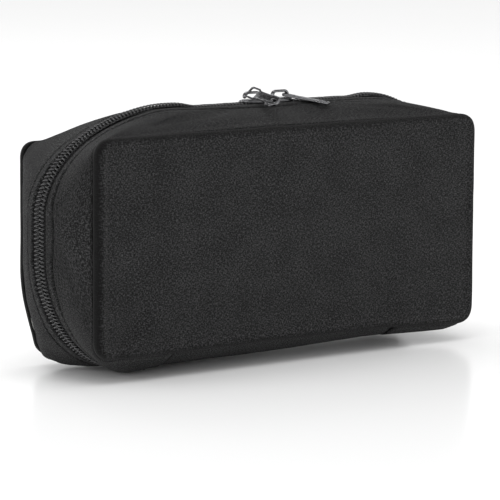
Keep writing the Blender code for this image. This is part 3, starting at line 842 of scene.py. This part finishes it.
def coil(half):
    """One side of the nylon coil: a flattened helix whose heads mesh with the other side's."""
    turns = int(ZIP.along[-1] / COIL_PITCH)
    per_turn = 12
    steps = np.arange(turns * per_turn + 1)
    angle = 2 * np.pi * steps / per_turn
    half_pitch = 0.5 if half is FRONT else 0.0
    along = (steps / per_turn + half_pitch) * COIL_PITCH + 0.0002
    along = along[along < ZIP.along[-1] - 0.0003]
    angle = angle[: len(along)]
    centre, across, out = ZIP.at(along, ZIP.centre), ZIP.at(along, ZIP.across), ZIP.at(along, ZIP.out)
    spread = np.interp(along, ZIP.along, ZIP.spread)
    reach = COIL_CENTRE + spread + COIL_REACH * np.cos(angle)
    rise = COIL_RISE * np.sin(angle) - COIL_SINK + np.interp(along, ZIP.along, ZIP.coil_lift)
    points = centre + half.side * across * reach[:, None] + out * rise[:, None]
    points[:, 2] = np.maximum(points[:, 2], rest_height(points[:, 0]) + WIRE_RADIUS)
    new_piece_of(
        half.name + "_coil_wire", [tube(points, WIRE_RADIUS, 7, up=np.array([0.0, 0.0, 1.0]))], COIL,
        half.body, [half.name + "_zipper_coil"],
    )


for half in (BACK, FRONT):
    zip_tape(half)
    coil(half)


# Sliders: plates and pulls are flat shapes with rounded edges, and the crowns are swept bands


def rounded_plate(name, outlines, thickness, bevel):
    """A mesh of a flat shape with holes, its edges rounded, in its local XY plane."""
    curve = bpy.data.curves.new(name, "CURVE")
    curve.dimensions = "2D"
    curve.fill_mode = "BOTH"
    curve.extrude = thickness / 2 - bevel
    curve.bevel_depth = bevel
    curve.bevel_resolution = 3
    curve.offset = -bevel
    for outline in outlines:
        spline = curve.splines.new("POLY")
        spline.points.add(len(outline) - 1)
        spline.use_cyclic_u = True
        for point, (x, y) in zip(spline.points, outline):
            point.co = (x, y, 0, 1)
    guide = bpy.data.objects.new(name, curve)
    bpy.context.scene.collection.objects.link(guide)
    graph = bpy.context.evaluated_depsgraph_get()
    mesh = bpy.data.meshes.new_from_object(guide.evaluated_get(graph))
    bpy.data.objects.remove(guide, do_unlink=True)
    cage = bmesh.new()
    cage.from_mesh(mesh)
    bmesh.ops.remove_doubles(cage, verts=cage.verts, dist=0.000004)
    cage.to_mesh(mesh)
    cage.free()
    return mesh


def joined(name, meshes, material, body, replaces):
    cage = bmesh.new()
    for mesh, matrix in meshes:
        mesh.transform(matrix)
        cage.from_mesh(mesh)
    made = bpy.data.meshes.new(name)
    cage.to_mesh(made)
    cage.free()
    made.materials.clear()
    for polygon in made.polygons:
        polygon.material_index = 0
    made.shade_smooth()
    made.set_sharp_from_angle(angle=math.radians(35))
    return register(bpy.data.objects.new(name, made), material, body, replaces)


def band(points, width, thickness, sides=16, power=3.5):
    """A mesh of a band with a rounded rectangular section swept along points in the XZ plane."""
    points = np.asarray(points, float)
    run = unit(np.gradient(points, axis=0))
    normal = np.stack([-run[:, 2], np.zeros(len(run)), run[:, 0]], axis=1)
    angles = np.linspace(0, 2 * np.pi, sides, endpoint=False) + np.pi / sides
    cosine, sine = np.cos(angles), np.sin(angles)
    a = np.sign(cosine) * np.abs(cosine) ** (2 / power) * width / 2
    b = np.sign(sine) * np.abs(sine) ** (2 / power) * thickness / 2
    ends = np.ones(len(points))
    ends[[0, -1]] = 0.72
    ring = np.array([0.0, 1.0, 0.0]) * a[None, :, None] * ends[:, None, None]
    ring = ring + normal[:, None] * b[None, :, None] * ends[:, None, None]
    vertices = (points[:, None] + ring).reshape(-1, 3)
    count = len(points)
    faces = []
    for i in range(count - 1):
        for j in range(sides):
            k = (j + 1) % sides
            faces.append([i * sides + j, i * sides + k, (i + 1) * sides + k, (i + 1) * sides + j])
    faces.append(list(range(sides))[::-1])
    faces.append([(count - 1) * sides + k for k in range(sides)])
    mesh = plain_mesh("band", vertices, faces)
    cage = bmesh.new()
    cage.from_mesh(mesh)
    bmesh.ops.recalc_face_normals(cage, faces=cage.faces)
    cage.to_mesh(mesh)
    cage.free()
    return mesh


def slider_plan(length, nose, tail):
    """Plan of a slider's plate, nose at +X."""
    nose_radius, tail_radius = nose / 2, tail / 2
    points = np.concatenate([
        arc((length / 2 - nose_radius, 0), (nose_radius, nose_radius), -84, 84, 24),
        arc((tail_radius - length / 2, 0), (tail_radius * 1.15, tail_radius), 96, 264, 24),
    ])
    return points.tolist()


def slider(side_name, facing):
    """A slider's body with its side walls, and its arched crown."""
    low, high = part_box(side_name + "_slider_body")
    x = (low[0] + high[0]) / 2
    length = high[0] - low[0]
    body = side_name + "_slider"
    place = Matrix.Translation((x, ZIP_Y, 0)) @ Matrix.Rotation(facing, 4, "Z")
    plan = slider_plan(length, 0.0084, 0.0064)
    top = rounded_plate("plate", [plan], 0.0011, 0.0004)
    ridge = rounded_plate("ridge", [slider_plan(length * 0.84, 0.0060, 0.0042)], 0.0006, 0.00022)
    foot = rounded_plate("foot", [slider_plan(length, 0.0070, 0.0056)], 0.0009, 0.0003)
    foot_z = low[2] + 0.00045
    neck_x = length / 2 - 0.0024
    neck = band([(neck_x, 0, foot_z), (neck_x, 0, TOP_PLATE - 0.0005)], 0.0014, 0.0020)
    parts = [
        (top, place @ Matrix.Translation((0, 0, TOP_PLATE - 0.00055))),
        (ridge, place @ Matrix.Translation((0, 0, TOP_PLATE + 0.00002))),
        (foot, place @ Matrix.Translation((0, 0, foot_z))),
        (neck, place),
    ]
    for side in (-1, 1):
        wall = [
            (length * s, side * w, TOP_PLATE - 0.0011)
            for s, w in ((-0.40, 0.0030), (-0.15, 0.0033), (0.10, 0.0037), (0.30, 0.0038))
        ]
        flange = tube(wall, 0.00062, 10)
        parts.append((plain_mesh("flange", *flange), place))
    joined(side_name + "_slider_casting", parts, METAL, body, [side_name + "_slider_body"])
    crown_low, crown_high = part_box(side_name + "_slider_crown")
    half_length = (crown_high[0] - crown_low[0]) / 2
    rise = crown_high[2] - TOP_PLATE
    thick = 0.0012
    corner = rise * 0.62 - thick / 2
    reach = half_length - thick / 2
    top_z = rise - thick / 2
    line_points = [(reach, 0, -0.0002), (reach, 0, top_z - corner - 0.0004)]
    for centre_x, start, end in ((reach - corner, 0, 90), (corner - reach, 90, 172)):
        bend = arc((centre_x, top_z - corner), (corner, corner), start, end, 12)
        line_points += [(x, 0, z) for x, z in bend]
    line_points.append((0.0001 - reach, 0, 0.0013))
    line_points.append((0.0003 - reach, 0, 0.0009))
    crown = band(line_points, 0.0020, thick)
    seat_plan = arc((reach - 0.0004, 0), (0.0014, 0.0015), 0, 345, 23)
    seat = rounded_plate("seat", [seat_plan.tolist()], 0.0007, 0.0003)
    joined(
        side_name + "_slider_bridge",
        [(crown, place @ Matrix.Translation((0, 0, TOP_PLATE))),
         (seat, place @ Matrix.Translation((0, 0, TOP_PLATE + 0.0003)))],
        METAL, body, [side_name + "_slider_crown"],
    )


slider("left", 0.0)
slider("right", math.pi)


def pull_plan():
    """Edge, eye and slot of a pull whose eye bar is at the origin. It points along +X."""
    eye_half, waist, grip, length = 0.00305, 0.00225, 0.0027, 0.0220
    back = -0.0023
    end = length + back
    top = np.array([(back + 0.0012, eye_half), (0.0036, eye_half), (0.0050, waist), (0.0125, waist * 1.02),
                    (0.0142, grip), (0.0150, grip)])
    tip = arc((end - grip, 0), (grip, grip), 88, -88, 22)
    edge = np.concatenate([arc((back + 0.0012, eye_half - 0.0012), (0.0012, 0.0012), 180, 95, 6), top, tip])
    edge = np.concatenate([edge, edge[len(edge) - 22 - 2::-1] * (1, -1)])
    corners = ((0.0030, 0.00175), (-0.0010, 0.00175), (-0.0010, -0.00175), (0.0030, -0.00175))
    eye = np.concatenate([
        arc(centre, (0.0006, 0.0006), 90 * k, 90 * k + 90, 5) for k, centre in enumerate(corners)
    ])
    slot = arc((0.0168, 0), (0.0017, 0.00085), 0, 345, 23)
    return edge, eye, slot


def inset(outline, distance):
    """A closed outline moved inwards by a small distance."""
    run = unit(np.roll(outline, -1, axis=0) - np.roll(outline, 1, axis=0))
    normal = np.stack([-run[:, 1], run[:, 0]], axis=1)
    area = np.sum(outline[:, 0] * np.roll(outline[:, 1], -1) - outline[:, 1] * np.roll(outline[:, 0], -1))
    return outline + normal * distance * np.sign(area)


def pull(side_name, pivot, pivot_in_pull, pitch, yaw, roll):
    """A die-cast pull: flat bar with raised rims, an eye, a slotted grip and two small side knobs."""
    edge, eye, slot = pull_plan()
    plate = rounded_plate("pull", [edge.tolist(), eye.tolist(), slot.tolist()], 0.0008, 0.00026)
    rim = rounded_plate("rim", [edge.tolist(), inset(edge, 0.00062).tolist()], 0.0011, 0.00026)
    lip = slot - (0.0168, 0)
    slot_rim = rounded_plate("slot_rim", [(lip * 1.36 + (0.0168, 0)).tolist(), slot.tolist()], 0.0011, 0.0002)
    turn = Matrix.Translation(pivot) @ Matrix.Rotation(yaw, 4, "Z") @ Matrix.Rotation(-pitch, 4, "Y")
    turn = turn @ Matrix.Rotation(roll, 4, "X") @ Matrix.Translation((-pivot_in_pull, 0, 0))
    parts = [(plate, turn), (rim, turn), (slot_rim, turn)]
    for x in (0.0134, 0.0162):
        knob = rounded_plate("knob", [arc((0, 0), (0.0007, 0.0007), 0, 340, 17).tolist()], 0.0011, 0.0004)
        parts.append((knob, turn @ Matrix.Translation((x, -0.0029, 0))))
    joined(side_name + "_pull_casting", parts, METAL, side_name + "_pull", [side_name + "_slider_pull"])


LEFT_AXIS = JOINTS["left_pull_flip"]["pos_m"]
RIGHT_AXIS = JOINTS["right_pull_flip"]
pull("left", LEFT_AXIS, 0.0, math.radians(-9), math.radians(-90), math.radians(43))
right_yaw = math.atan2(RIGHT_AXIS["axis"][0], -RIGHT_AXIS["axis"][1])
pull("right", RIGHT_AXIS["pos_m"], -0.00195, math.radians(-10.5), right_yaw, 0.0)


# Inside of the case


def lining_wall(half):
    """Smooth lining of the side wall, all the way round."""
    columns = np.linspace(0, 1, 30)
    grid = wall_surface(half, ZIP_RING, panel_inset=0.0030, edge=0.0056, seam_depth=0.0058, columns=columns)
    pull_in = smoothstep(columns / 0.9)[None, :, None]
    grid = grid - ZIP_RING.out[:, None] * 0.0030 * pull_in
    uvs = grid_uvs(grid)
    u, v = uvs[..., 0], uvs[..., 1]
    middle = np.sin(np.pi * columns)[None, :]
    seed = 83.0 + half.side
    lift = 0.00050 * middle * noise_grid(u / 0.03, v / 0.02, seed)
    lift += 0.00035 * middle * noise_grid(u / 0.009, v / 0.03, seed + 5)
    grid = grid + surface_normals(grid, half) * (lift - 0.0002)[..., None]
    grid = soften_floor(grid, rest_height(grid[..., 0]) * 0.6 + 0.0026)
    item = cloth_piece(half.name + "_wall_lining", grid, uvs, half is BACK, LINING, half.body,
                       [half.name + "_gusset_lining"])
    thickened(item, LINING_CLOTH)


def lining_panel(half):
    low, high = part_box(half.name + "_lining")
    x, z = rounded_grid(high[0] + 0.0004, low[2] - 0.0004, high[2] + 0.0004, INNER_CORNER, 70, 150)
    d = corner_distance(x, z, high[0] + 0.0004, low[2] - 0.0004, high[2] + 0.0004, INNER_CORNER)
    seed = 97.0 + 9 * half.side
    ripple = 0.00026 * noise_grid(x / 0.03, z / 0.03, seed)
    ripple = ripple + 0.00014 * noise_grid(x / 0.009, z / 0.012, seed + 3)
    inner_y = high[1] if half is FRONT else low[1]
    y = inner_y + half.side * (0.0003 - ripple * smoothstep(d / 0.01))
    grid = np.stack([x, y, z], axis=-1)
    uvs = np.stack([x + 0.5, z + 0.5], axis=-1)
    item = cloth_piece(half.name + "_panel_lining", grid, uvs, half is BACK, LINING, half.body,
                       [half.name + "_lining"])
    thickened(item, 0.0004)
    return item


def ring_outline(half_length, low, high, corner, steps=14, straight=40):
    points = [
        arc((half_length - corner, high - corner), (corner, corner), 0, 90, steps),
        line((half_length - corner, high), (corner - half_length, high), straight)[1:],
        arc((corner - half_length, high - corner), (corner, corner), 90, 180, steps),
        line((-half_length, high - corner), (-half_length, low + corner), straight // 2)[1:],
        arc((corner - half_length, low + corner), (corner, corner), 180, 270, steps),
        line((corner - half_length, low), (half_length - corner, low), straight)[1:],
        arc((half_length - corner, low + corner), (corner, corner), 270, 360, steps),
        line((half_length, low + corner), (half_length, high - corner), straight // 2)[1:],
    ]
    return np.concatenate(points)


def binding(half):
    """Grosgrain binding over the seam between the panel lining and the wall lining."""
    low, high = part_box(half.name + "_seam_binding")
    outer = ring_outline(high[0], low[2], high[2], INNER_CORNER)
    run = unit(np.roll(outer, -1, axis=0) - np.roll(outer, 1, axis=0))
    inward = np.stack([-run[:, 1], run[:, 0]], axis=1)
    width = 0.0050
    across = np.linspace(0, 1, 9)
    flat = outer[:, None] + inward[:, None] * (across * width)[None, :, None]
    dome = 0.0007 * np.sqrt(np.maximum(1 - (2 * across - 1) ** 4, 0)) + 0.0001
    wobble = 0.00012 * noise_grid(np.arange(len(outer))[:, None] / 1.7, across[None, :] * 2, 113.0)
    inner_y = low[1] if half is FRONT else high[1]
    y = inner_y - half.side * (dome[None, :] + wobble)
    grid = np.stack([flat[..., 0], y, flat[..., 1]], axis=-1)
    along = lengths(np.concatenate([outer, outer[:1]]))[:-1]
    uvs = np.stack(np.broadcast_arrays(along[:, None], (across * width)[None, :]), axis=-1)
    item = cloth_piece(half.name + "_binding_tape", grid, uvs, half is BACK, BINDING, half.body,
                       [half.name + "_seam_binding"], closed=True)
    thickened(item, 0.0004)
    seam = in_space(outer + inward * 0.0012, inner_y)
    seam[:, 1] -= half.side * 0.00075
    seam = np.concatenate([seam, seam[:1]])
    away = np.tile([0.0, -float(half.side), 0.0], (len(seam), 1))
    new_piece_of(half.name + "_binding_stitches", dashes(seam, away, 0.0026), THREAD, half.body)
    return item


def elastic_loops(node, seed):
    """A strip of elastic webbing, bar-tacked to the lining between five bottle loops."""
    low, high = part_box(node)
    y_lining = high[1] - 0.0001
    count = 5
    pitch = (high[0] - low[0]) / count
    reach = (pitch - 0.0050) / 2
    rise = high[1] - low[1] - 0.0010
    path = [np.array([(low[0], y_lining), (low[0] + 0.0012, y_lining)])]
    for loop in range(count):
        middle = (low[0] + high[0]) / 2 + (loop - (count - 1) / 2) * pitch
        bend = arc((middle, y_lining), (reach, -rise), 180, 0, 34)
        path.append(bend)
        path.append(np.array([(middle + reach + 0.0016, y_lining)]))
    path = np.concatenate(path)
    path = path[np.concatenate([[True], np.linalg.norm(np.diff(path, axis=0), axis=1) > 1e-6])]
    height = high[2] - low[2]
    across = np.linspace(0, 1, 37)
    run = np.stack([path[:, 0], path[:, 1], np.zeros(len(path))], axis=1)
    tangent = unit(np.gradient(run, axis=0))
    normal = np.stack([tangent[:, 1], -tangent[:, 0], np.zeros(len(path))], axis=1)
    normal[normal[:, 1] > 0] *= -1
    rib = 0.00010 * np.cos(across * height / 0.0012 * 2 * np.pi)
    cord = np.exp(-(((across - 0.03) / 0.03) ** 2)) + np.exp(-(((across - 0.97) / 0.03) ** 2))
    rib = rib + 0.00025 * cord
    along = lengths(run)
    sag = 0.0004 * noise_grid(along[:, None] / 0.02, across[None, :] * 1.5, seed)
    free = smoothstep((y_lining - path[:, 1]) / 0.004)[:, None]
    grid = run[:, None] + normal[:, None] * (rib[None, :] + sag * free)[..., None]
    grid[..., 2] = low[2] + across[None, :] * height + 0.0003 * free * noise_grid(
        along[:, None] / 0.012, across[None, :] * 0, seed + 4)
    uvs = np.stack(np.broadcast_arrays(along[:, None], (across * height)[None, :]), axis=-1)
    item = cloth_piece(node + "_webbing", grid, uvs, False, ELASTIC, "back_half", [node])
    thickened(item, 0.0008, 1)
    tacks = []
    for edge in range(count + 1):
        x = low[0] + edge * pitch + (0.0009 if edge == 0 else -0.0009 if edge == count else 0.0)
        zs = np.linspace(low[2] + 0.0008, high[2] - 0.0008, 40)
        zigzag = np.stack([x + 0.0006 * (-1.0) ** np.arange(40), np.full(40, y_lining - 0.0009), zs], axis=1)
        tacks.append(tube(zigzag, 0.00017, 5, up=np.array([0.0, 1.0, 0.0])))
    tack = new_piece_of(node + "_bar_tacks", tacks, THREAD, "back_half")


def pocket_surface(x, z, low, high):
    """Where the mesh pocket lies: flat at its sides and foot, standing off the lining towards its hem."""
    reach = high[0]
    share = np.clip((z - low[2]) / (high[2] - low[2]), 0, 1)
    rise = (high[1] - low[1] - 0.0008) * (1 - np.abs(x / reach) ** 4) * np.sin(np.pi / 2 * share) ** 0.7
    sag = 0.0007 * noise_grid(x / 0.03, z / 0.03, 151.0) * smoothstep((reach - np.abs(x)) / 0.02)
    return low[1] + 0.0005 + rise + sag * smoothstep(share / 0.15)


def mesh_pocket():
    """Net with real six-sided holes, sewn round its foot and sides, with an elastic hem along its top."""
    low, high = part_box("mesh_pocket")
    cell = 0.00135
    step_x, step_z = cell * math.sqrt(3), cell * 1.5
    vertices, index, faces = [], {}, []
    rows = int((high[2] - low[2]) / step_z)
    columns = int((high[0] - low[0]) / step_x)
    for row in range(rows):
        for column in range(columns):
            cx = low[0] + (column + 0.5 + 0.5 * (row % 2)) * step_x
            cz = low[2] + (row + 0.5) * step_z
            face = []
            for corner in range(6):
                a = math.radians(30 + 60 * corner)
                px, pz = cx + cell * math.cos(a), cz + cell * math.sin(a)
                key = (round(px * 1e5), round(pz * 1e5))
                if key not in index:
                    index[key] = len(vertices)
                    vertices.append((px, pz))
                face.append(index[key])
            faces.append(face)
    flat = np.array(vertices)
    flat[:, 0] = np.clip(flat[:, 0], low[0], high[0])
    y = pocket_surface(flat[:, 0], flat[:, 1], low, high)
    mesh = plain_mesh("pocket_net", np.stack([flat[:, 0], y, flat[:, 1]], axis=1), faces)
    net = bpy.data.objects.new("pocket_net", mesh)
    register(net, NET, "front_half", ["mesh_pocket"])
    wire = net.modifiers.new("threads", "WIREFRAME")
    wire.thickness = 0.00046
    wire.use_even_offset = False
    hem_low, hem_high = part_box("mesh_pocket_hem")
    xs = np.linspace(low[0], high[0], 260)
    hem_height = hem_high[2] - hem_low[2] + 0.0010
    across = np.linspace(0, 1, 17)
    zs = hem_low[2] - 0.0008 + across * hem_height
    base = pocket_surface(xs, np.full(len(xs), high[2]), low, high) + 0.0003
    gather = 0.00042 * noise_grid(xs[:, None] / 0.0032, across[None, :] * 0.7, 163.0)
    pinch = smoothstep((0.5 - np.abs(across - 0.5)) / 0.12)[None, :]
    grid = np.stack(np.broadcast_arrays(xs[:, None], base[:, None] + gather * pinch, zs[None, :]), axis=-1)
    uvs = np.stack(np.broadcast_arrays(xs[:, None], (across * hem_height)[None, :]), axis=-1)
    hem = cloth_piece("pocket_hem_elastic", grid, uvs, False, ELASTIC, "front_half",
                      ["mesh_pocket_hem"])
    thickened(hem, 0.0011, 0)
    seam = np.stack([xs, base + 0.00075, np.full(len(xs), zs[0] + 0.0014)], axis=1)
    away = np.tile([0.0, 1.0, 0.0], (len(xs), 1))
    thread = new_piece_of("pocket_hem_stitches", dashes(seam, away, 0.0026), THREAD, "front_half")
    edge = ring_outline(high[0] + 0.0005, low[2] - 0.0006, hem_high[2], 0.004)
    keep = edge[:, 1] < hem_high[2] - 0.002
    first = int(np.argmax(keep & ~np.roll(keep, 1)))
    edge = np.roll(edge, -first, axis=0)[: int(keep.sum())]
    parts = []
    ys = np.full(len(edge), low[1] + 0.0006)
    line_points = np.stack([edge[:, 0], ys, edge[:, 1]], axis=1)
    parts.append(tube(line_points, 0.0011, 8, up=np.array([0.0, 1.0, 0.0])))
    tape = new_piece_of("pocket_edge_binding", parts, BINDING, "front_half")


for half in (BACK, FRONT):
    lining_wall(half)
    lining_panel(half)
    binding(half)
elastic_loops("upper_elastic_loops", 131.0)
elastic_loops("lower_elastic_loops", 139.0)
mesh_pocket()


# Floor, light and camera


def floor():
    mesh = plain_mesh("floor", [(-9, -6, 0), (9, -6, 0), (9, 12, 0), (-9, 12, 0)], [(0, 1, 2, 3)])
    item = bpy.data.objects.new("floor", mesh)
    bpy.context.scene.collection.objects.link(item)
    item.location.z = -0.0002
    g = Graph("white_sweep", roughness=0.20, specular=0.30)
    g.colour((0.98, 0.98, 0.98, 1))
    mesh.materials.append(g.material)


def area_light(name, place, target, size, power, shape_y=None):
    light = bpy.data.lights.new(name, "AREA")
    light.shape = "RECTANGLE"
    light.size = size
    light.size_y = shape_y or size
    light.energy = power
    item = bpy.data.objects.new(name, light)
    bpy.context.scene.collection.objects.link(item)
    item.location = place
    item.rotation_mode = "QUATERNION"
    item.rotation_quaternion = (Vector(target) - Vector(place)).to_track_quat("-Z", "Y")
    item.visible_camera = False


def studio():
    world = bpy.data.worlds.new("studio")
    bpy.context.scene.world = world
    world.use_nodes = True
    background = world.node_tree.nodes["Background"]
    background.inputs["Color"].default_value = (1, 1, 1, 1)
    background.inputs["Strength"].default_value = 1.0
    tree = world.node_tree
    studio_dark = tree.nodes.new("ShaderNodeBackground")
    direction = tree.nodes.new("ShaderNodeTexCoord")
    split = tree.nodes.new("ShaderNodeSeparateXYZ")
    height = tree.nodes.new("ShaderNodeMapRange")
    height.inputs["From Min"].default_value = 0.22
    height.inputs["From Max"].default_value = 0.50
    height.inputs["To Min"].default_value = 1.0
    height.inputs["To Max"].default_value = 0.10
    path = tree.nodes.new("ShaderNodeLightPath")
    mix = tree.nodes.new("ShaderNodeMixShader")
    tree.links.new(direction.outputs["Generated"], split.inputs[0])
    tree.links.new(split.outputs[2], height.inputs["Value"])
    tree.links.new(height.outputs[0], studio_dark.inputs["Strength"])
    tree.links.new(path.outputs["Is Glossy Ray"], mix.inputs[0])
    tree.links.new(background.outputs[0], mix.inputs[1])
    tree.links.new(studio_dark.outputs[0], mix.inputs[2])
    tree.links.new(mix.outputs[0], tree.nodes["World Output"].inputs["Surface"])
    area_light("top_softbox", (-0.2, -0.3, 2.6), (0, 0, 0.05), 2.2, 26.0)
    area_light("left_softbox", (-1.4, 0.55, 0.55), (-0.1, 0.02, 0.06), 0.7, 5.0)
    area_light("back_softbox", (0.3, 1.6, 1.4), (0, 0, 0.10), 0.8, 5.0)


def camera():
    azimuth, elevation, roll = math.radians(37.637), math.radians(7.97), math.radians(0.35)
    distance = 1.439985
    target = Vector((-0.000486, 0.0, 0.047424))
    back = Vector((-math.sin(azimuth) * math.cos(elevation), -math.cos(azimuth) * math.cos(elevation),
                   math.sin(elevation)))
    right = Vector((0, 0, 1)).cross(back).normalized()
    up = back.cross(right)
    turned_right = right * math.cos(roll) + up * math.sin(roll)
    turned_up = up * math.cos(roll) - right * math.sin(roll)
    data = bpy.data.cameras.new("camera")
    data.sensor_width = 36
    data.lens = 227.75
    data.clip_start, data.clip_end = 0.05, 60
    item = bpy.data.objects.new("camera", data)
    bpy.context.scene.collection.objects.link(item)
    turn = Matrix((turned_right, turned_up, back)).transposed().to_4x4()
    item.matrix_world = Matrix.Translation(target + back * distance) @ turn
    bpy.context.scene.camera = item


floor()
studio()
camera()
bpy.context.scene.view_settings.view_transform = "Standard"
